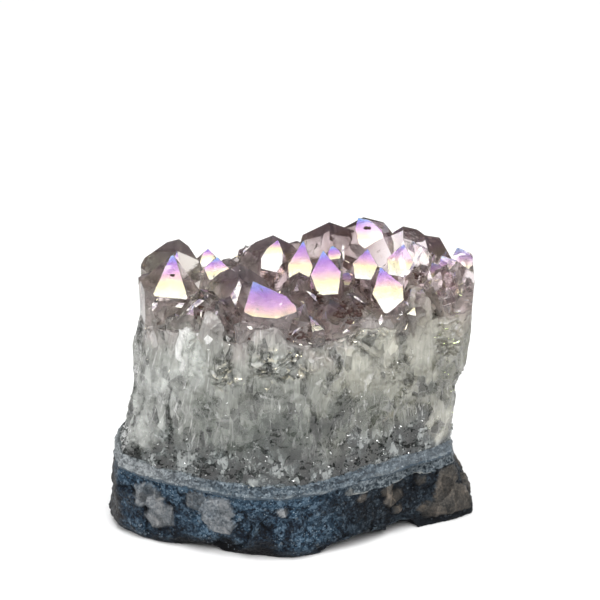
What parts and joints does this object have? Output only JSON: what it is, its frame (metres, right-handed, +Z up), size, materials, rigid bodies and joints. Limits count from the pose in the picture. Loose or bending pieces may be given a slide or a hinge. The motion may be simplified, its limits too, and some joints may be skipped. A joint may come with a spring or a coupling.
{
  "type": "aura amethyst cluster",
  "caption": "Natural crystal cluster broken from a geode wall: pointed amethyst crystals with an iridescent coating on a chalcedony band and a dark basalt base.",
  "frame": {"origin": "on the surface that the cluster rests on, under the middle of its bounding box", "axes": "+X along the cluster's longest side, towards its right; +Y away from the broken front face; +Z up, along the crystals"},
  "size_m": [0.0618, 0.039, 0.0484],
  "materials": {
    "basalt": "dark blue-grey rough basalt with taupe mineral patches",
    "chalcedony": "thin blue-grey banded chalcedony, waxy",
    "amethyst": "clear smoky mauve quartz, cloudy towards the root, with a blue, violet, pink and yellow iridescent coating on the points"
  },
  "bodies": {
    "root": {"basalt_matrix": "basalt", "chalcedony_band": "chalcedony", "amethyst_crystals": "amethyst"}
  },
  "joints": []
}
